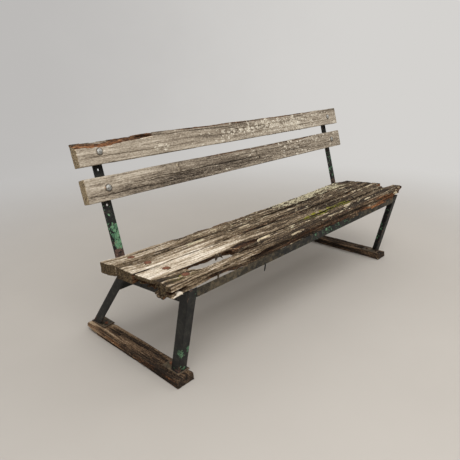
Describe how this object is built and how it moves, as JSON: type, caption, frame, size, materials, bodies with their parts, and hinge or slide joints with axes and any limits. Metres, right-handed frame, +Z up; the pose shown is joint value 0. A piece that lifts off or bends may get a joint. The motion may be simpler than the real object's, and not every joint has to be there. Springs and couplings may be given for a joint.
{
  "type": "park bench",
  "caption": "Weathered park bench with bolted timber seat planks and back slats on welded angle-iron end frames that stand on timber skids.",
  "frame": {"origin": "on the ground, below the middle of the bench's box", "axes": "+X along the bench towards the sitter's left, -Y to the front of the seat, +Z up; left and right in names are as seen facing the bench"},
  "size_m": [1.7857, 0.6714, 0.8592],
  "materials": {
    "weathered_wood": "grey weathered sawn timber with lichen and rot",
    "skid_wood": "dark brown weathered timber",
    "dark_paint": "worn black paint with green showing through",
    "galvanised_bolt": "dull zinc",
    "rusty_iron": "rusted"
  },
  "bodies": {
    "root": {"seat_plank_front": "weathered_wood", "seat_plank_front_middle": "weathered_wood", "seat_plank_back_middle": "weathered_wood", "seat_plank_back": "weathered_wood", "back_slat_lower": "weathered_wood", "back_slat_upper": "weathered_wood", "left_skid": "skid_wood", "right_skid": "skid_wood", "left_front_leg": "dark_paint", "right_front_leg": "dark_paint", "left_rear_leg": "dark_paint", "right_rear_leg": "dark_paint", "left_seat_rail": "dark_paint", "right_seat_rail": "dark_paint", "left_back_upright": "dark_paint", "right_back_upright": "dark_paint", "front_rail": "dark_paint", "rear_rail": "dark_paint", "left_front_foot_plate": "dark_paint", "right_front_foot_plate": "dark_paint", "left_rear_foot_plate": "dark_paint", "right_rear_foot_plate": "dark_paint", "back_bolt_left_lower": "galvanised_bolt", "back_bolt_left_upper": "galvanised_bolt", "back_bolt_right_lower": "galvanised_bolt", "back_bolt_right_upper": "galvanised_bolt", "back_washer_left_lower": "galvanised_bolt", "back_washer_left_upper": "galvanised_bolt", "back_washer_right_lower": "galvanised_bolt", "back_washer_right_upper": "galvanised_bolt", "back_nut_left_lower": "galvanised_bolt", "back_nut_left_upper": "galvanised_bolt", "back_nut_right_lower": "galvanised_bolt", "back_nut_right_upper": "galvanised_bolt", "seat_bolt_left_front": "rusty_iron", "seat_bolt_left_front_middle": "rusty_iron", "seat_bolt_left_back_middle": "rusty_iron", "seat_bolt_left_back": "rusty_iron", "seat_bolt_right_front": "rusty_iron", "seat_bolt_right_front_middle": "rusty_iron", "seat_bolt_right_back_middle": "rusty_iron", "seat_bolt_right_back": "rusty_iron", "seat_nut_left_front": "rusty_iron", "seat_nut_left_front_middle": "rusty_iron", "seat_nut_left_back_middle": "rusty_iron", "seat_nut_left_back": "rusty_iron", "seat_nut_right_front": "rusty_iron", "seat_nut_right_front_middle": "rusty_iron", "seat_nut_right_back_middle": "rusty_iron", "seat_nut_right_back": "rusty_iron", "foot_screw_left_front": "rusty_iron", "foot_screw_left_rear": "rusty_iron", "foot_screw_right_front": "rusty_iron", "foot_screw_right_rear": "rusty_iron"}
  },
  "joints": []
}
